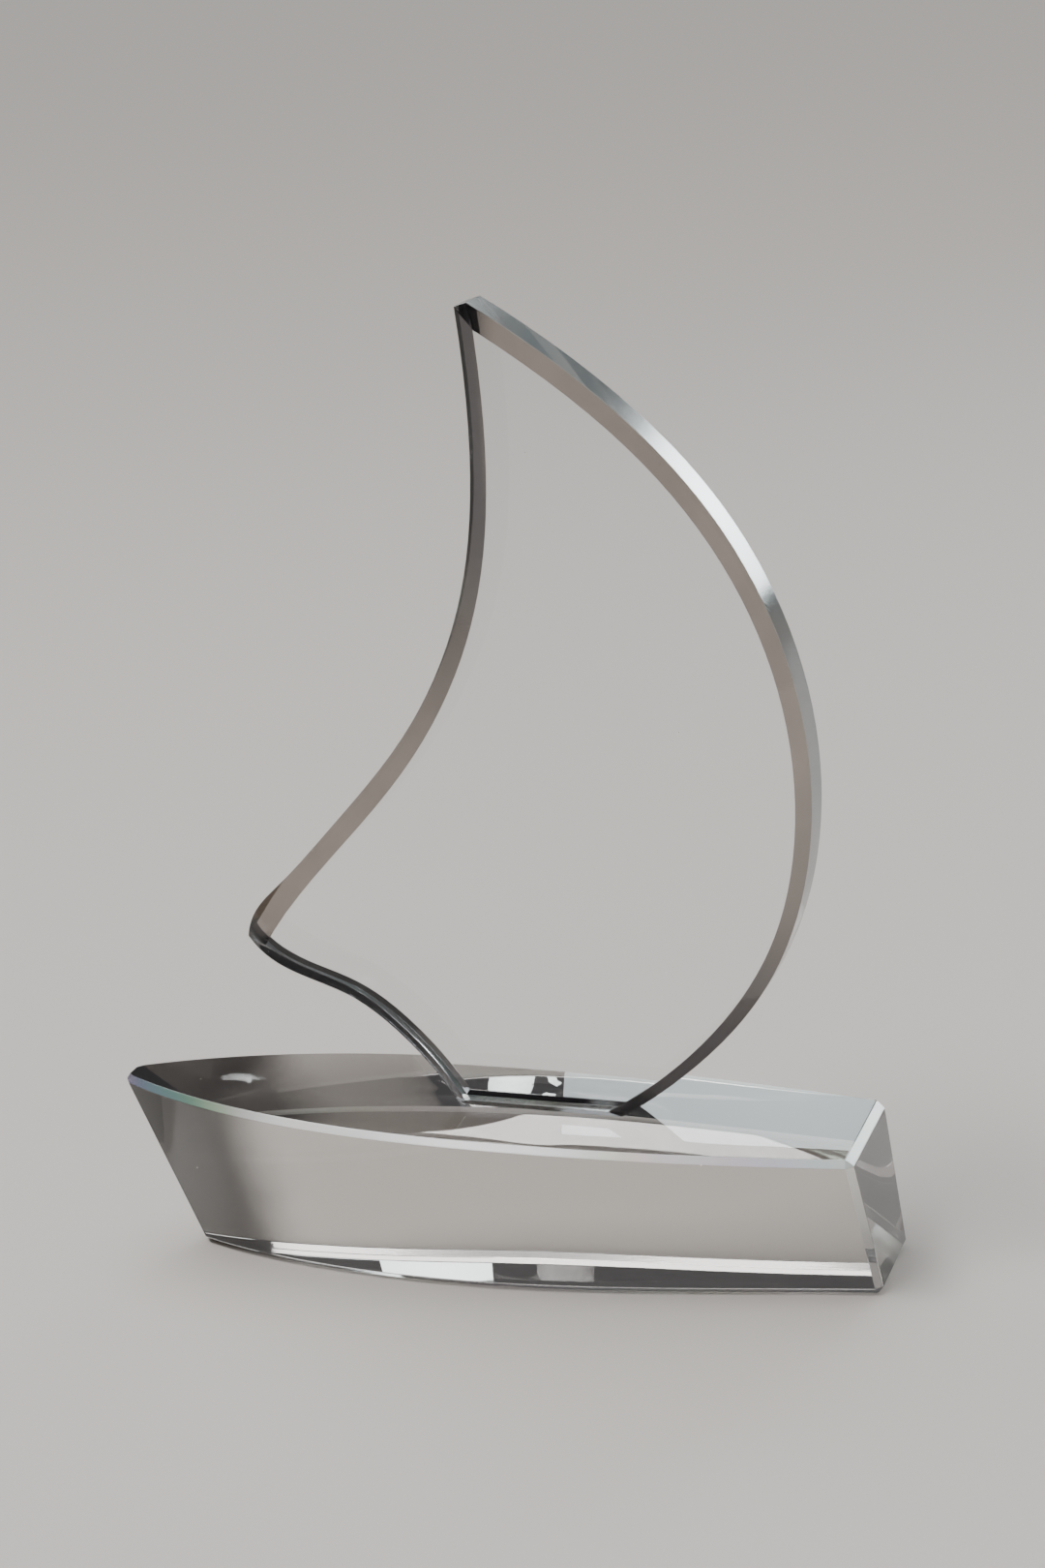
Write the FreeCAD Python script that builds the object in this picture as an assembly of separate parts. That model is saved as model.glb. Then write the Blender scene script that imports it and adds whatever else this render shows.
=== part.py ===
import FreeCAD, Part
import os

# A crystal award: a sailing boat made of two polished blocks of clear optical crystal.
# The hull is a solid block, and the sail is a thick plate that stands on its deck.
# Frame: +X aft along the hull, +Y across it, +Z up. The origin is on the resting plane,
# under the middle of the hull's length and on its centre line. Millimetres.

# Hull: the deck rises towards the bow, and the sides lean in towards the bottom
DECK_HEIGHT = 34.4
DECK_RISE = 0.048
BOW_X = -83.3
DECK_STERN_X = 80.0
BOTTOM_BOW_X = -67.9
BOTTOM_STERN_X = 84.6
# (station along X, half breadth); the first is the blunt bow and the last the transom
DECK_HALF_BREADTHS = ((BOW_X, 3.4), (-60.0, 15.8), (-30.0, 23.8), (5.0, 26.2), (45.0, 24.1), (DECK_STERN_X, 18.8))
BOTTOM_HALF_BREADTHS = ((BOTTOM_BOW_X, 2.6), (-50.0, 10.7), (-27.0, 16.9), (5.0, 20.5),
                        (45.0, 18.4), (BOTTOM_STERN_X, 14.1))
EDGE_CHAMFER = 1.5

# Cured adhesive between the deck and the sail's foot
BOND_THICKNESS = 0.15
BOND_INSET = 0.3

# Sail plate, upright over the hull's centre line
SAIL_THICKNESS = 13.0
FRONT_BEVEL_DEPTH = 2.0
BACK_BEVEL_DEPTH = 1.0
BACK_BEVEL_WIDTH = 1.0
SEAT_FORE_X = -6.4
SEAT_AFT_X = 29.0


def deck_height(x):
    """Height of the deck at station x, in millimetres above the resting plane."""
    return DECK_HEIGHT - DECK_RISE * x


# Outline of the plate's rim as (x, z), run round from the peak: down the luff to the tack,
# along the curved foot to the deck, along the seat on the deck, and up the leech
PEAK_FORE = (4.6, 202.8)
PEAK_AFT = (7.2, 203.5)
TACK = (-50.6, 70.9)
SEAT_FORE = (SEAT_FORE_X, deck_height(SEAT_FORE_X) + BOND_THICKNESS)
SEAT_AFT = (SEAT_AFT_X, deck_height(SEAT_AFT_X) + BOND_THICKNESS)
LUFF = (PEAK_FORE, (5.8, 175.0), (1.6, 144.0), (-12.2, 115.5), (-31.5, 93.6), (-42.6, 82.5), (-48.5, 76.5), TACK)
FOOT = (TACK, (-45.0, 65.3), (-29.6, 58.5), (-17.6, 49.3), SEAT_FORE)
SEAT = (SEAT_FORE, SEAT_AFT)
LEECH = (SEAT_AFT, (44.2, 43.8), (61.6, 63.2), (72.2, 98.9), (68.9, 129.6), (55.5, 159.1), (29.8, 187.0), PEAK_AFT)
PEAK = (PEAK_AFT, PEAK_FORE)
# Width of the front bevel, in the plane of the front face, at both ends of each side
FRONT_BEVEL_WIDTHS = {"luff": (3.8, 4.6), "foot": (3.0, 2.4), "seat": (1.6, 1.6), "leech": (2.7, 3.5)}
BEVEL_STATIONS = 9


def curve(points, y):
    """One edge through (x, z) points in the plane at y: a straight line through two, else a spline."""
    vectors = [FreeCAD.Vector(x, y, z) for x, z in points]
    if len(vectors) == 2:
        return Part.LineSegment(vectors[0], vectors[1]).toShape()
    spline = Part.BSplineCurve()
    spline.interpolate(vectors)
    return spline.toShape()


def bottom_height(x):
    """Height of the flat bottom at station x: it lies on the resting plane."""
    return 0.0


def hull_point(x, half, height):
    """A point on the hull's outline at station x, on the surface that height gives."""
    return FreeCAD.Vector(x, half, height(x))


def plan_curve(stations, side, height):
    """One long edge of the hull; side is -1 or +1, and height gives z from x."""
    spline = Part.BSplineCurve()
    spline.interpolate([hull_point(x, side * half, height) for x, half in stations])
    return spline.toShape()


def plan_wire(stations, height):
    """The hull's closed outline on one surface: blunt bow, one side, transom, other side."""
    bow_x, bow_half = stations[0]
    stern_x, stern_half = stations[-1]
    bow = Part.LineSegment(hull_point(bow_x, bow_half, height), hull_point(bow_x, -bow_half, height))
    transom = Part.LineSegment(hull_point(stern_x, -stern_half, height), hull_point(stern_x, stern_half, height))
    near = plan_curve(stations, -1, height)
    far = plan_curve(stations, 1, height)
    far.reverse()
    return Part.Wire([bow.toShape(), near, transom.toShape(), far])


def make_hull():
    """Solid block: ruled sides between bottom and deck outlines, raked stem and transom, ground edges."""
    bottom = plan_wire(BOTTOM_HALF_BREADTHS, bottom_height)
    deck = plan_wire(DECK_HALF_BREADTHS, deck_height)
    block = Part.makeLoft([bottom, deck], True, True)
    return block.makeChamfer(EDGE_CHAMFER, block.Edges)


def inward_normal(tangent):
    """Unit (x, z) normal that points into the sail, for an outline run in the order given above."""
    length = (tangent[0] ** 2 + tangent[1] ** 2) ** 0.5
    return (-tangent[1] / length, tangent[0] / length)


def side_frames(points):
    """Points and inward normals at equal steps along one side of the outline."""
    edge = curve(points, 0.0)
    first, last = edge.ParameterRange
    frames = []
    for step in range(BEVEL_STATIONS):
        parameter = first + (last - first) * step / (BEVEL_STATIONS - 1)
        place = edge.valueAt(parameter)
        tangent = edge.tangentAt(parameter)
        frames.append(((place.x, place.z), inward_normal((tangent.x, tangent.z))))
    return frames


def inner_corner(frame_a, width_a, frame_b, width_b):
    """The point that lies width_a inside the line through frame_a and width_b inside that of frame_b."""
    (place_a, normal_a) = frame_a
    (place_b, normal_b) = frame_b
    reach_a = width_a + place_a[0] * normal_a[0] + place_a[1] * normal_a[1]
    reach_b = width_b + place_b[0] * normal_b[0] + place_b[1] * normal_b[1]
    cross = normal_a[0] * normal_b[1] - normal_a[1] * normal_b[0]
    x = (reach_a * normal_b[1] - reach_b * normal_a[1]) / cross
    z = (reach_b * normal_a[0] - reach_a * normal_b[0]) / cross
    return (x, z)


def inner_side(points, widths, start, end):
    """The bevel's inner border along one side, from corner to corner."""
    if len(points) == 2:
        return (start, end)
    frames = side_frames(points)
    border = [start]
    for step in range(1, BEVEL_STATIONS - 1):
        (place, normal) = frames[step]
        share = step / (BEVEL_STATIONS - 1)
        width = widths[0] + (widths[1] - widths[0]) * share
        border.append((place[0] + normal[0] * width, place[1] + normal[1] * width))
    border.append(end)
    return tuple(border)


def front_borders():
    """Inner border of the front bevel; over the short peak it comes to a point."""
    names = ("luff", "foot", "seat", "leech")
    sides = {"luff": LUFF, "foot": FOOT, "seat": SEAT, "leech": LEECH}
    frames = {name: side_frames(sides[name]) for name in names}
    corners = {}
    for name, following in zip(names, names[1:] + names[:1]):
        corners[following] = inner_corner(frames[name][-1], FRONT_BEVEL_WIDTHS[name][1],
                                          frames[following][0], FRONT_BEVEL_WIDTHS[following][0])
    borders = []
    for name, following in zip(names, names[1:] + names[:1]):
        borders.append(inner_side(sides[name], FRONT_BEVEL_WIDTHS[name], corners[name], corners[following]))
    return borders


def back_borders(sides):
    """Inner border of the fine bevel round the back face."""
    frames = [side_frames(side) for side in sides]
    widths = (BACK_BEVEL_WIDTH, BACK_BEVEL_WIDTH)
    corners = []
    for index in range(len(sides)):
        corners.append(inner_corner(frames[index - 1][-1], BACK_BEVEL_WIDTH, frames[index][0], BACK_BEVEL_WIDTH))
    borders = []
    for index, side in enumerate(sides):
        borders.append(inner_side(side, widths, corners[index], corners[(index + 1) % len(sides)]))
    return borders


def make_sail():
    """Thick plate with a wide bevel round the front face and a fine one round the back."""
    sides = (LUFF, FOOT, SEAT, LEECH, PEAK)
    front_y = -SAIL_THICKNESS / 2
    rim_front_y = front_y + FRONT_BEVEL_DEPTH
    back_y = SAIL_THICKNESS / 2
    rim_back_y = back_y - BACK_BEVEL_DEPTH
    front_inner = [curve(border, front_y) for border in front_borders()]
    rim_front = [curve(side, rim_front_y) for side in sides]
    rim_back = [curve(side, rim_back_y) for side in sides]
    back_inner = [curve(border, back_y) for border in back_borders(sides)]
    faces = [Part.Face(Part.Wire(front_inner)), Part.Face(Part.Wire(back_inner))]
    for inner, rim in zip(front_inner, rim_front):
        faces.append(Part.makeRuledSurface(inner, rim))
    for front, back in zip(rim_front, rim_back):
        faces.append(Part.makeRuledSurface(front, back))
    for rim, inner in zip(rim_back, back_inner):
        faces.append(Part.makeRuledSurface(rim, inner))
    point = front_inner[0].valueAt(front_inner[0].FirstParameter)
    aft = FreeCAD.Vector(PEAK_AFT[0], rim_front_y, PEAK_AFT[1])
    fore = FreeCAD.Vector(PEAK_FORE[0], rim_front_y, PEAK_FORE[1])
    faces.append(Part.Face(Part.makePolygon([point, aft, fore, point])))
    shell = Part.makeShell(faces)
    shell.sewShape()
    solid = Part.makeSolid(Part.Shell(shell.Faces))
    if solid.Volume < 0:
        solid.reverse()
    return solid


def make_bond_layer():
    """Thin film of clear adhesive on the deck, a little inside the edges of the sail's seat."""
    start_y = -SAIL_THICKNESS / 2 + FRONT_BEVEL_DEPTH + BOND_INSET
    end_y = SAIL_THICKNESS / 2 - BACK_BEVEL_DEPTH - BOND_INSET
    outline = []
    for x, lift in ((SEAT_FORE_X + BOND_INSET, 0.0), (SEAT_AFT_X - BOND_INSET, 0.0),
                    (SEAT_AFT_X - BOND_INSET, BOND_THICKNESS), (SEAT_FORE_X + BOND_INSET, BOND_THICKNESS)):
        outline.append(FreeCAD.Vector(x, start_y, deck_height(x) + lift))
    face = Part.Face(Part.makePolygon(outline + outline[:1]))
    return face.extrude(FreeCAD.Vector(0, end_y - start_y, 0))


os.makedirs("parts", exist_ok=True)
make_hull().exportStep("parts/hull.step")
make_sail().exportStep("parts/sail.step")
make_bond_layer().exportStep("parts/bond_layer.step")
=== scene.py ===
import math

import bpy
from mathutils import Matrix, Vector


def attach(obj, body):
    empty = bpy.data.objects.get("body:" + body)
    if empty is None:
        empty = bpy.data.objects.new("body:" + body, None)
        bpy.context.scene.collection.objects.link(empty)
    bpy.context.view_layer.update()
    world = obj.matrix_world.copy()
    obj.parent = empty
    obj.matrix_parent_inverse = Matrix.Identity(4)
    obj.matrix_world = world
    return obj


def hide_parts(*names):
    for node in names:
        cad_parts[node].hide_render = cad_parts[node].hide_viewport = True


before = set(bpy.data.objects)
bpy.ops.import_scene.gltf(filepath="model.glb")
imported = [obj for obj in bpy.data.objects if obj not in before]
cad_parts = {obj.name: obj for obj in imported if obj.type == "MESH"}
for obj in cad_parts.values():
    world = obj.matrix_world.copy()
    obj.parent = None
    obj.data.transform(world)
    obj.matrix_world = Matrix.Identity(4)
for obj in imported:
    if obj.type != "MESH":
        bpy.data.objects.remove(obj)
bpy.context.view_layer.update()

bl_info = {
    "name": "Crystal sailing boat award",
    "version": (1, 0, 0),
    "blender": (4, 5, 0),
    "location": "3D View > Sidebar > Crystal Award",
    "description": "Polishes a crystal award's hull and sail and sets up a soft studio round it",
    "category": "Object",
}

MM = 0.001
BODY = "root"

# Meshes: how near two points are merged, how flat a side is, and how sharp an edge is.
WELD = 1e-6
FLAT_WITHIN = math.radians(0.15)
SHARP_FROM = math.radians(20)
BREAK_SEGMENTS = 2

# Kinds of face on the hull, told apart by how far their normals lean up (z) and across (y).
HULL_FACE, HULL_UPPER_EDGE, HULL_KEEL = range(3)
HULL_UPRIGHT_BELOW = 0.45
HULL_LEVEL_ABOVE = 0.95
HULL_SIDE_ABOVE = 0.75
HULL_END_BELOW = 0.2

# Kinds of face on the sail, told apart by how far their normals lean across (y).
SAIL_FACE, SAIL_BEVEL, SAIL_RIM = range(3)
SAIL_FACE_ABOVE = 0.99
SAIL_RIM_BELOW = 0.1

# Where each painted shade starts and where it is full: along x on the hull and for the luff, else
# along z.
BOW_SHADE_RANGE = (-34 * MM, -50 * MM)
DARK_BOW = (-38 * MM, -66 * MM)
LUFF = (14 * MM, 8 * MM)
LUFF_BELOW_PEAK = (165 * MM, 85 * MM)
LUFF_ABOVE_TACK = (70.5 * MM, 73 * MM)
LEECH_ABOVE_DECK = (48 * MM, 112 * MM)
BOW_SHADE_DRIFT = 8 * MM
BOW_SHADE_LEAN = 0.2

# Fixed colours of the finishes, among them a painted highlight on the upper edges and a painted
# reflection with highlight streaks on the rim.
WHITE = (1.0, 1.0, 1.0, 1.0)
WARM_HAZE = (0.99, 0.985, 0.975, 1.0)
# Painted highlight where the edge is half clear.
EDGE_WHITE = (0.88, 0.91, 0.93, 1.0)
# Painted reflection and painted highlight streaks on the sail's rim.
RIM_REFLECTED_TEAL = (0.66, 0.76, 0.77, 1.0)
RIM_HIGHLIGHT_STREAK = (1.0, 1.0, 0.98, 1.0)
BOND_CLOUD = (0.93, 0.95, 0.96, 1.0)

# How strong the marks and the grinding lines are, how much the bevels' painted shade is mottled,
# and each edge's share of the painted rainbow glints.
HAZE_AMOUNT = 0.5
BEVEL_MOTTLE = 0.25
DUST_ROUGHNESS = 0.35
DUST_HEIGHT = 0.4
LINT_ROUGHNESS = 0.3
SMEAR_LEAN = math.radians(32)
SPECK_CORE = 0.4
EDGE_GRIND = 0.25
RIM_GRIND = 0.1
GROUND_FRINGE = 0.6
KEEL_FRINGE = 0.3
RIM_FRINGE = 0.7
FRINGES_PER_METRE = 95.0
FRINGE_DRIFT = 2.5

# The stage. The floor lies a hair below the hull, so that the two never share a plane.
FLOOR_DROP = 0.05 * MM
FLOOR_GRAIN = 0.97
FLOOR_ROUGHNESS = 0.6
ROOM_COLOUR = (0.09, 0.09, 0.095, 1.0)
CENTRE = (0.0, 0.0, 0.0)
SAIL_MIDDLE = (0.0, 0.0, 0.1)
DECK_MIDDLE = (0.0, 0.0, 0.05)
DOME_PLACE = (-0.5, 0.35, 2.0)
DOME_ENERGY = 3.1
DOME_ANGLE = math.radians(64)
NEUTRAL = (1.0, 1.0, 1.0)
COOL = (0.88, 0.97, 1.0)
WIDE = math.radians(180)
NARROW = math.radians(40)
SENSOR_HEIGHT = 36.0
CLIP_START = 0.01

# Name, place, target, size, power in watts, colour and spread. A narrow spread keeps the light
# of the boxes behind the award off the floor.
SOFT_BOXES = (
    ("key_light", (-0.85, -0.75, 2.0), CENTRE, (1.5, 0.5), 44.0, NEUTRAL, WIDE),
    ("rim_light", (0.62, 2.5, 0.5), SAIL_MIDDLE, (0.75, 0.6), 1.2, COOL, NARROW),
    ("deck_light", (-0.47, 2.5, 1.01), DECK_MIDDLE, (0.32, 0.09), 0.018, COOL, NARROW),
    ("seat_light", (-0.14, 2.5, 1.225), DECK_MIDDLE, (0.46, 0.27), 0.085, COOL, NARROW),
    ("front_light", (-1.45, -0.75, 1.0), DECK_MIDDLE, (0.8, 0.6), 1.1, NEUTRAL, WIDE),
)


# ---------------------------------------------------------------------------
# Shader nodes
# ---------------------------------------------------------------------------


class Signal:
    """An output of a node. Sums on a number add Math nodes."""

    def __init__(self, nodes, socket):
        self.nodes = nodes
        self.socket = socket

    def math(self, operation, *values):
        """The result of a Math node of that operation on these values."""
        return self.nodes.add("ShaderNodeMath", {"operation": operation}, values)

    def __add__(self, other):
        return self.math("ADD", self, other)

    def __radd__(self, other):
        return self.math("ADD", other, self)

    def __sub__(self, other):
        return self.math("SUBTRACT", self, other)

    def __rsub__(self, other):
        return self.math("SUBTRACT", other, self)

    def __mul__(self, other):
        return self.math("MULTIPLY", self, other)

    def __rmul__(self, other):
        return self.math("MULTIPLY", other, self)

    def below(self, limit):
        """1 where this is less than limit, else 0."""
        return self.math("LESS_THAN", self, limit)

    def cosine(self):
        """The cosine of this angle in radians."""
        return self.math("COSINE", self)

    def smooth(self, start, full):
        """0 up to start and 1 from full, with a soft step between. Start may be the larger."""
        settings = {"interpolation_type": "SMOOTHSTEP"}
        inputs = {"Value": self, "From Min": start, "From Max": full}
        return self.nodes.add("ShaderNodeMapRange", settings, inputs)

    def other(self, output):
        """Another output of the same node."""
        return Signal(self.nodes, self.socket.node.outputs[output])


class Nodes:
    """The node tree of one material, or of the world."""

    def __init__(self, owner):
        owner.use_nodes = True
        self.tree = owner.node_tree
        self.tree.nodes.clear()

    def add(self, kind, settings=None, inputs=(), output=0):
        """Adds a node, sets it up, feeds its inputs with values or links, and gives one output."""
        node = self.tree.nodes.new(kind)
        for name, value in (settings or {}).items():
            setattr(node, name, value)
        named = inputs.items() if isinstance(inputs, dict) else enumerate(inputs)
        for name, value in named:
            if isinstance(value, Signal):
                self.tree.links.new(value.socket, node.inputs[name])
            else:
                node.inputs[name].default_value = value
        return Signal(self, node.outputs[output]) if node.outputs else None

    def place(self):
        """Object coordinates."""
        return self.add("ShaderNodeTexCoord", output="Object")

    def axes(self, vector):
        """The three parts of a vector."""
        x = self.add("ShaderNodeSeparateXYZ", {}, (vector,))
        return x, x.other("Y"), x.other("Z")

    def stretched(self, vector, scale, turn=(0.0, 0.0, 0.0)):
        """Coordinates turned and scaled by a Mapping node."""
        inputs = {"Vector": vector, "Rotation": turn, "Scale": scale}
        return self.add("ShaderNodeMapping", {}, inputs)

    def noise(self, vector, scale, detail=2.0, roughness=0.5):
        """Fractal noise from 0 to 1."""
        inputs = {"Vector": vector, "Scale": scale, "Detail": detail, "Roughness": roughness}
        return self.add("ShaderNodeTexNoise", {}, inputs)

    def specks(self, vector, scale, size, share):
        """1 in small round specks, which lie in that share of the cells of a pattern."""
        inputs = {"Vector": vector, "Scale": scale}
        reach = self.add("ShaderNodeTexVoronoi", {}, inputs, output="Distance")
        chance = self.axes(reach.other("Color"))[0]
        return reach.smooth(size, size * SPECK_CORE) * chance.below(share)

    def blend(self, factor, first, second):
        """A colour between two others."""
        inputs = {0: factor, 6: first, 7: second}
        return self.add("ShaderNodeMix", {"data_type": "RGBA"}, inputs, output=2)

    def bump(self, height, strength, distance):
        """Normals tilted by the slope of a height."""
        inputs = {"Strength": strength, "Distance": distance, "Height": height}
        return self.add("ShaderNodeBump", {}, inputs)

    def clear_surface(self, colour, roughness, ior, clarity, normal):
        """Shows a clear shader that bends light as the material's surface."""
        self.surface({
            "Base Color": colour,
            "Roughness": roughness,
            "IOR": ior,
            "Transmission Weight": clarity,
            "Normal": normal,
        })

    def surface(self, inputs):
        """Shows a Principled shader with these inputs as the material's surface."""
        shader = self.add("ShaderNodeBsdfPrincipled", {}, inputs)
        self.add("ShaderNodeOutputMaterial", {}, {"Surface": shader})


# ---------------------------------------------------------------------------
# Materials
# ---------------------------------------------------------------------------


class Finish:
    """One kind of crystal surface: its clarity, roughness, painted rainbow glints and grinding
    lines.
    """

    def __init__(self, clarity, roughness, fringe=0.0, grind=0.0):
        self.clarity = clarity
        self.roughness = roughness
        self.fringe = fringe
        self.grind = grind


def hull_painted_shade(nodes, place, style):
    """Painted shade: grey-brown over the clear hull, and near black towards the bow."""
    x, _, z = nodes.axes(place)
    drift = nodes.noise(place, scale=45.0) * BOW_SHADE_DRIFT
    # Painted shade: the hull goes near black towards the bow.
    bow_shade = (x + z * BOW_SHADE_LEAN + drift).smooth(*BOW_SHADE_RANGE)
    return nodes.blend(bow_shade, (*style.hull_painted_shade, 1.0), (*style.bow_shade, 1.0))


def clear_tint(nodes, place, style):
    """Clear, with a faint warm haze in places."""
    haze = nodes.noise(place, scale=12.0).smooth(0.35, 0.7)
    return nodes.blend(haze * HAZE_AMOUNT, (*style.tint, 1.0), WARM_HAZE)


def edge_white_and_shade(nodes, place, style):
    """Nearly white, which on the half-clear upper edges is a painted highlight and on the keel
    edges only tints the light, and darker at the bow, which is painted shade.
    """
    x, _, _ = nodes.axes(place)
    tone = nodes.noise(place, scale=60.0, detail=3.0)
    white = nodes.blend(tone, EDGE_WHITE, WHITE)
    # Painted shade: the edges darken towards the bow.
    return nodes.blend(x.smooth(*DARK_BOW), white, (*style.bevel_soft_shade, 1.0))


def rim_painted_reflection(nodes, place, style):
    """Painted reflection and highlight: cool teal with pale streaks across the rim."""
    streaks = nodes.stretched(place, (1.0, 0.15, 1.0))
    tone = nodes.noise(streaks, scale=90.0, detail=3.0).smooth(0.35, 0.7)
    return nodes.blend(tone, RIM_REFLECTED_TEAL, RIM_HIGHLIGHT_STREAK)


def bevel_painted_shade(nodes, place, style):
    """Painted shade on the bevels: dark on the foot and low on the leech, brown higher on the
    leech and low on the luff.
    """
    x, _, z = nodes.axes(place)
    luff = x.smooth(*LUFF)
    luff_light = z.smooth(*LUFF_BELOW_PEAK) * z.smooth(*LUFF_ABOVE_TACK)
    leech_light = z.smooth(*LEECH_ABOVE_DECK)
    light = luff * luff_light + (1.0 - luff) * leech_light
    mottle = nodes.noise(place, scale=70.0, detail=3.0).smooth(0.3, 0.75)
    # Mottle in the painted shade.
    brown = light * ((1.0 - BEVEL_MOTTLE) + mottle * BEVEL_MOTTLE)
    return nodes.blend(brown, (*style.bevel_deep_shade, 1.0), (*style.bevel_soft_shade, 1.0))


def fringed(nodes, place, colour, amount):
    """A colour with soft rainbow bands over it in places, painted glints of split light."""
    x, y, z = nodes.axes(place)
    drift = nodes.noise(place, scale=40.0, detail=1.0) * FRINGE_DRIFT
    run = (x + y * 0.6 + z * 0.8) * FRINGES_PER_METRE + drift
    bands = [0.5 + 0.5 * (run + third * math.tau / 3).cosine() for third in range(3)]
    rainbow = nodes.add("ShaderNodeCombineColor", {}, bands)
    patches = nodes.noise(place, scale=26.0, detail=1.0).smooth(0.42, 0.62)
    return nodes.blend(patches * amount, colour, rainbow)


def crystal_material(name, style, finish, tint):
    """Polished crystal with smears, dust and slight waves, and with the marks of its finish."""
    material = bpy.data.materials.new(name)
    nodes = Nodes(material)
    place = nodes.place()
    streaks = nodes.stretched(place, (1.0, 1.0, 0.22), (0.0, SMEAR_LEAN, 0.0))
    smear = nodes.noise(streaks, scale=55.0, detail=4.0, roughness=0.62).smooth(0.5, 0.78)
    handled = nodes.noise(place, scale=18.0, detail=3.0).smooth(0.56, 0.74)
    dust = nodes.specks(place, scale=260.0, size=0.07, share=0.05)
    threads = nodes.stretched(place, (1.0, 1.0, 0.4))
    lint = nodes.specks(threads, scale=120.0, size=0.05, share=0.035)
    roughness = finish.roughness + smear * handled * style.smear
    roughness = roughness + dust * DUST_ROUGHNESS + lint * LINT_ROUGHNESS
    height = nodes.noise(place, scale=30.0, detail=1.0) * style.waviness + dust * DUST_HEIGHT
    if finish.grind > 0.0:
        lines = nodes.stretched(place, (1.0, 6.0, 6.0))
        height = height + nodes.noise(lines, scale=420.0) * finish.grind
    normal = nodes.bump(height, strength=0.12, distance=0.2 * MM)
    # The tint paints shade into the hull and the bevels, and highlight and reflection into the
    # upper edges and the rim.
    colour = tint(nodes, place, style)
    if finish.fringe > 0.0:
        colour = fringed(nodes, place, colour, finish.fringe)
    nodes.clear_surface(colour, roughness, style.ior, finish.clarity, normal)
    return material


def bond_material(style):
    """Clear adhesive, cured a little cloudy, with fine bubbles."""
    material = bpy.data.materials.new("cured_adhesive")
    nodes = Nodes(material)
    place = nodes.place()
    bubbles = nodes.specks(place, scale=700.0, size=0.22, share=0.3)
    cloud = nodes.noise(place, scale=160.0, detail=3.0)
    colour = nodes.blend(cloud.smooth(0.35, 0.7), BOND_CLOUD, WHITE)
    roughness = 0.06 + cloud * 0.08 + bubbles * 0.15
    normal = nodes.bump(cloud + bubbles, strength=0.3, distance=0.1 * MM)
    nodes.clear_surface(colour, roughness, style.bond_ior, 1.0, normal)
    return material


# ---------------------------------------------------------------------------
# Pieces
# ---------------------------------------------------------------------------


def select_only(piece):
    """Makes this object the only one selected, and active."""
    bpy.ops.object.select_all(action="DESELECT")
    piece.select_set(True)
    bpy.context.view_layer.objects.active = piece


def closed_copy(node, name):
    """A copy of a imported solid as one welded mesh, with each flat side in one face."""
    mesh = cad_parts[node].data.copy()
    mesh.name = name
    mesh.materials.clear()
    piece = bpy.data.objects.new(name, mesh)
    bpy.context.scene.collection.objects.link(piece)
    select_only(piece)
    bpy.ops.mesh.customdata_custom_splitnormals_clear()
    bpy.ops.object.mode_set(mode="EDIT")
    bpy.ops.mesh.select_all(action="SELECT")
    bpy.ops.mesh.remove_doubles(threshold=WELD)
    bpy.ops.mesh.dissolve_limited(angle_limit=FLAT_WITHIN)
    bpy.ops.object.mode_set(mode="OBJECT")
    return piece


def break_edges(piece, width):
    """Rounds every sharp edge by a hair, as polishing does, and shades the rest smooth."""
    bevel = piece.modifiers.new("broken_edges", "BEVEL")
    bevel.width = width
    bevel.segments = BREAK_SEGMENTS
    bevel.limit_method = "ANGLE"
    bevel.angle_limit = SHARP_FROM
    bevel.harden_normals = True
    select_only(piece)
    bpy.ops.object.shade_smooth_by_angle(angle=SHARP_FROM)
    bpy.ops.object.modifier_apply(modifier=bevel.name)


def polish(piece, node, style, materials, kind_of):
    """Gives each face its material, breaks the edges, and puts the piece on the frame."""
    for material in materials:
        piece.data.materials.append(material)
    for face in piece.data.polygons:
        face.material_index = kind_of(face.normal)
    break_edges(piece, style.edge_break)
    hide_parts(node)
    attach(piece, BODY)


def hull_kind(normal):
    """Deck, bottom, sides and ends are faces, edges that face up are the upper edges, the rest
    keel.
    """
    across = abs(normal.y)
    upright = abs(normal.z) < HULL_UPRIGHT_BELOW
    level = abs(normal.z) > HULL_LEVEL_ABOVE
    side = upright and across > HULL_SIDE_ABOVE
    end = upright and across < HULL_END_BELOW
    if level or side or end:
        return HULL_FACE
    return HULL_UPPER_EDGE if normal.z > HULL_UPRIGHT_BELOW else HULL_KEEL


def sail_kind(normal):
    """Front and back are faces, the plate's edge is rim, and the slope between them is bevel."""
    across = abs(normal.y)
    if across > SAIL_FACE_ABOVE:
        return SAIL_FACE
    return SAIL_RIM if across < SAIL_RIM_BELOW else SAIL_BEVEL


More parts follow.
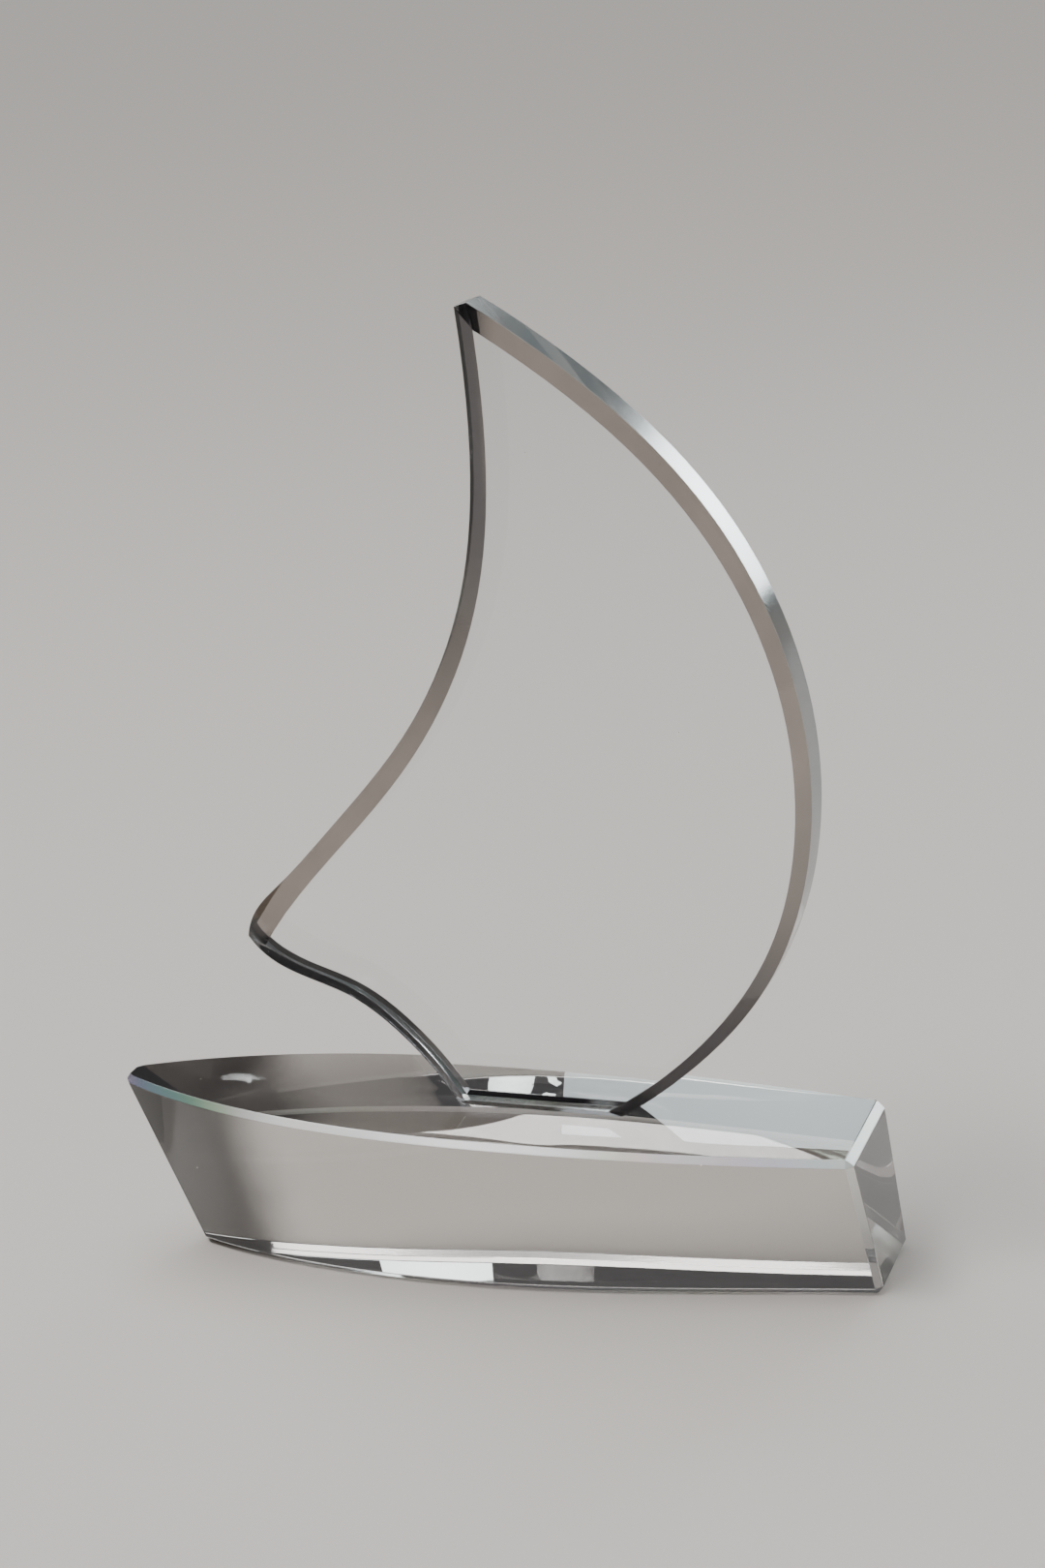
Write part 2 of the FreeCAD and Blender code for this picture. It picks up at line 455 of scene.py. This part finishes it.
class CrystalStyle(bpy.types.PropertyGroup):
    """Finish of the crystal, with the colours of its painted shade and the clarities that show its
    painted highlight and reflection.
    """

    ior: bpy.props.FloatProperty(
        name="Refractive index", description="Refractive index of the optical crystal",
        default=1.52, min=1.3, max=2.0)
    bond_ior: bpy.props.FloatProperty(
        name="Adhesive index", description="Refractive index of the cured adhesive",
        default=1.5, min=1.3, max=2.0)
    tint: bpy.props.FloatVectorProperty(
        name="Sail tint", description="Colour of light that has passed through the sail's faces",
        default=(0.965, 0.98, 0.985), subtype="COLOR", size=3, min=0.0, max=1.0)
    # Painted shade: a grey-brown that darkens the clear hull.
    hull_painted_shade: bpy.props.FloatVectorProperty(
        name="Hull tint", description="Colour of light that has passed through the hull's faces",
        default=(0.68, 0.655, 0.63), subtype="COLOR", size=3, min=0.0, max=1.0)
    # Painted shade: near black at the narrow bow.
    bow_shade: bpy.props.FloatVectorProperty(
        name="Bow tint", description="Colour of light that has passed through the narrow bow",
        default=(0.085, 0.079, 0.075), subtype="COLOR", size=3, min=0.0, max=1.0)
    # Painted shade on the sail's bevels, darkest and lightest; the lightest also darkens the
    # hull's edges at the bow.
    bevel_deep_shade: bpy.props.FloatVectorProperty(
        name="Dark bevel", description="Darkest colour of the sail's bevels",
        default=(0.012, 0.011, 0.012), subtype="COLOR", size=3, min=0.0, max=1.0)
    bevel_soft_shade: bpy.props.FloatVectorProperty(
        name="Light bevel", description="Lightest colour of the sail's bevels",
        default=(0.15, 0.12, 0.10), subtype="COLOR", size=3, min=0.0, max=1.0)
    face_roughness: bpy.props.FloatProperty(
        name="Face roughness", description="Roughness of the clean polished faces",
        default=0.0, subtype="FACTOR", min=0.0, max=1.0)
    bevel_roughness: bpy.props.FloatProperty(
        name="Bevel roughness", description="Roughness of the sail's bevels and the keel's edges",
        default=0.03, subtype="FACTOR", min=0.0, max=1.0)
    rim_roughness: bpy.props.FloatProperty(
        name="Rim roughness", description="Roughness of the sail's rim",
        default=0.12, subtype="FACTOR", min=0.0, max=1.0)
    ground_roughness: bpy.props.FloatProperty(
        name="Ground roughness", description="Roughness of the hull's ground edges",
        default=0.2, subtype="FACTOR", min=0.0, max=1.0)
    # Lower clarity shows more of the edges' white, a painted highlight.
    upper_edge_clarity: bpy.props.FloatProperty(
        name="Ground clarity", description="Share of light that passes the hull's ground edges",
        default=0.5, subtype="FACTOR", min=0.0, max=1.0)
    # Lower clarity shows more of the rim's painted reflection.
    rim_clarity: bpy.props.FloatProperty(
        name="Rim clarity", description="Share of light that passes through the sail's rim",
        default=0.84, subtype="FACTOR", min=0.0, max=1.0)
    smear: bpy.props.FloatProperty(
        name="Smears", description="How rough the wiping smears are",
        default=0.12, subtype="FACTOR", min=0.0, max=1.0)
    waviness: bpy.props.FloatProperty(
        name="Waviness", description="Height of the slow waves left by polishing",
        default=0.6, min=0.0, max=5.0)
    # Painted glints: rainbow tints in the edges' colour.
    fringe: bpy.props.FloatProperty(
        name="Colour fringes", description="Strength of the rainbow glints on the ground edges",
        default=0.3, subtype="FACTOR", min=0.0, max=1.0)
    edge_break: bpy.props.FloatProperty(
        name="Edge break", description="Width of the fine rounding on every edge",
        default=0.2 * MM, subtype="DISTANCE", unit="LENGTH", min=0.0, max=1.0 * MM)


class StageStyle(bpy.types.PropertyGroup):
    """Floor and camera."""

    floor_colour: bpy.props.FloatVectorProperty(
        name="Floor", description="Colour of the floor",
        default=(0.47, 0.44, 0.41), subtype="COLOR", size=3, min=0.0, max=1.0)
    floor_size: bpy.props.FloatProperty(
        name="Floor size", description="Length of one side of the floor",
        default=60.0, subtype="DISTANCE", unit="LENGTH", min=1.0)
    camera_place: bpy.props.FloatVectorProperty(
        name="Camera", description="Place of the camera",
        default=(0.2203, -0.6890, 0.2929), subtype="TRANSLATION", unit="LENGTH", size=3)
    camera_turn: bpy.props.FloatProperty(
        name="Turn", description="How far the camera is turned about the vertical",
        default=math.radians(16.91), subtype="ANGLE", unit="ROTATION")
    camera_dip: bpy.props.FloatProperty(
        name="Dip", description="How far the camera looks down",
        default=math.radians(14.73), subtype="ANGLE", unit="ROTATION")
    camera_roll: bpy.props.FloatProperty(
        name="Roll", description="How far the camera leans about its own axis",
        default=math.radians(-3.88), subtype="ANGLE", unit="ROTATION")
    lens: bpy.props.FloatProperty(
        name="Lens", description="Focal length in millimetres on a sensor 36 mm high",
        default=83.1, min=10.0)


class AWARD_OT_hull(bpy.types.Operator):
    """Makes the hull: a solid crystal block with painted shade, and with upper edges whitened as a
    painted highlight
    """

    bl_idname = "award.hull"
    bl_label = "Hull"

    def execute(self, context):
        piece = closed_copy("hull", "hull_block")
        style = context.scene.award_crystal
        face = Finish(1.0, style.face_roughness)
        # Half-clear upper edges: their white colour is a painted highlight.
        ground = Finish(style.upper_edge_clarity, style.ground_roughness,
                        fringe=style.fringe * GROUND_FRINGE, grind=EDGE_GRIND)
        keel = Finish(1.0, style.bevel_roughness,
                      fringe=style.fringe * KEEL_FRINGE, grind=EDGE_GRIND)
        materials = [
            crystal_material("hull_face", style, face, hull_painted_shade),
            crystal_material("hull_upper_edge", style, ground, edge_white_and_shade),
            crystal_material("hull_keel", style, keel, edge_white_and_shade),
        ]
        polish(piece, "hull", style, materials, hull_kind)
        return {"FINISHED"}


class AWARD_OT_sail(bpy.types.Operator):
    """Makes the sail: an upright crystal plate with a wide bevel round its front face, with
    painted shade on the bevels and a painted reflection on the rim
    """

    bl_idname = "award.sail"
    bl_label = "Sail"

    def execute(self, context):
        piece = closed_copy("sail", "sail_plate")
        style = context.scene.award_crystal
        face = Finish(1.0, style.face_roughness)
        bevel = Finish(1.0, style.bevel_roughness, grind=EDGE_GRIND)
        rim = Finish(style.rim_clarity, style.rim_roughness,
                     fringe=style.fringe * RIM_FRINGE, grind=RIM_GRIND)
        materials = [
            crystal_material("sail_face", style, face, clear_tint),
            crystal_material("sail_bevel", style, bevel, bevel_painted_shade),
            crystal_material("sail_rim", style, rim, rim_painted_reflection),
        ]
        polish(piece, "sail", style, materials, sail_kind)
        return {"FINISHED"}


class AWARD_OT_bond(bpy.types.Operator):
    """Gives the adhesive film between deck and sail its finish"""

    bl_idname = "award.bond"
    bl_label = "Adhesive"

    def execute(self, context):
        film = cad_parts["bond_layer"]
        film.material_slots[0].material = bond_material(context.scene.award_crystal)
        return {"FINISHED"}


# ---------------------------------------------------------------------------
# Stage
# ---------------------------------------------------------------------------


def add_object(name, data):
    """A new object in the scene."""
    item = bpy.data.objects.new(name, data)
    bpy.context.scene.collection.objects.link(item)
    return item


def aim(place, target):
    """A placement at place whose -Z axis points at target."""
    turn = (Vector(target) - Vector(place)).to_track_quat("-Z", "Y")
    return Matrix.Translation(place) @ turn.to_matrix().to_4x4()


def lay_floor(style):
    """A wide floor with a faint grain."""
    bpy.ops.object.select_all(action="DESELECT")
    bpy.ops.mesh.primitive_plane_add(size=style.floor_size, location=(0.0, 0.0, -FLOOR_DROP))
    floor = bpy.context.active_object
    floor.name = "stage_floor"
    material = bpy.data.materials.new("stage_floor")
    nodes = Nodes(material)
    grain = nodes.noise(nodes.place(), scale=900.0, detail=3.0)
    pale = (*style.floor_colour, 1.0)
    darker = (*(part * FLOOR_GRAIN for part in style.floor_colour), 1.0)
    nodes.surface({"Base Color": nodes.blend(grain, darker, pale), "Roughness": FLOOR_ROUGHNESS})
    floor.data.materials.append(material)


def darken_room():
    """A dim, even room round the stage."""
    world = bpy.data.worlds.new("studio")
    bpy.context.scene.world = world
    nodes = Nodes(world)
    inputs = {"Color": ROOM_COLOUR, "Strength": 1.0}
    background = nodes.add("ShaderNodeBackground", {}, inputs)
    nodes.add("ShaderNodeOutputWorld", {}, {"Surface": background})


def dome(name, place, energy, angle):
    """A broad soft light from high up, which lights the floor evenly."""
    light = bpy.data.lights.new(name, "SUN")
    light.energy = energy
    light.angle = angle
    add_object(name, light).matrix_world = aim(place, CENTRE)


def soft_box(name, place, target, size, power, colour, spread):
    """A rectangular soft light."""
    light = bpy.data.lights.new(name, "AREA")
    light.shape = "RECTANGLE"
    light.size, light.size_y = size
    light.energy = power
    light.color = colour
    light.spread = spread
    add_object(name, light).matrix_world = aim(place, target)


def set_camera(style):
    """The camera, looking down at the award and leaning a little."""
    data = bpy.data.cameras.new("camera")
    data.sensor_fit = "VERTICAL"
    data.sensor_height = SENSOR_HEIGHT
    data.lens = style.lens
    data.clip_start = CLIP_START
    camera = add_object("camera", data)
    turn, dip, roll = style.camera_turn, style.camera_dip, style.camera_roll
    level = Vector((math.cos(turn), math.sin(turn), 0.0))
    ahead = math.cos(dip)
    forward = Vector((-math.sin(turn) * ahead, math.cos(turn) * ahead, -math.sin(dip)))
    upright = level.cross(forward)
    right = level * math.cos(roll) + upright * math.sin(roll)
    up = upright * math.cos(roll) - level * math.sin(roll)
    axes = Matrix((right, up, -forward)).transposed().to_4x4()
    camera.matrix_world = Matrix.Translation(style.camera_place) @ axes
    bpy.context.scene.camera = camera


class AWARD_OT_stage(bpy.types.Operator):
    """Sets up the floor, the soft lights and the camera"""

    bl_idname = "award.stage"
    bl_label = "Stage"

    def execute(self, context):
        style = context.scene.award_stage
        lay_floor(style)
        darken_room()
        dome("dome_light", DOME_PLACE, DOME_ENERGY, DOME_ANGLE)
        for box in SOFT_BOXES:
            soft_box(*box)
        set_camera(style)
        return {"FINISHED"}


# ---------------------------------------------------------------------------
# Add-on
# ---------------------------------------------------------------------------


class AWARD_PT_panel(bpy.types.Panel):
    """Steps of the crystal award"""

    bl_label = "Crystal Award"
    bl_idname = "AWARD_PT_panel"
    bl_space_type = "VIEW_3D"
    bl_region_type = "UI"
    bl_category = "Crystal Award"

    def draw(self, context):
        for step in STEPS:
            self.layout.operator(step.bl_idname)


STEPS = (AWARD_OT_hull, AWARD_OT_sail, AWARD_OT_bond, AWARD_OT_stage)
CLASSES = (CrystalStyle, StageStyle, *STEPS, AWARD_PT_panel)


def register():
    """Registers the classes and hangs the settings on the scene."""
    for item in CLASSES:
        bpy.utils.register_class(item)
    bpy.types.Scene.award_crystal = bpy.props.PointerProperty(type=CrystalStyle)
    bpy.types.Scene.award_stage = bpy.props.PointerProperty(type=StageStyle)


def unregister():
    """Takes the settings and the classes away again."""
    del bpy.types.Scene.award_stage
    del bpy.types.Scene.award_crystal
    for item in reversed(CLASSES):
        bpy.utils.unregister_class(item)


def main():
    """Makes the pieces and the stage."""
    register()
    bpy.ops.award.hull()
    bpy.ops.award.sail()
    bpy.ops.award.bond()
    bpy.ops.award.stage()


if __name__ == "__main__":
    main()
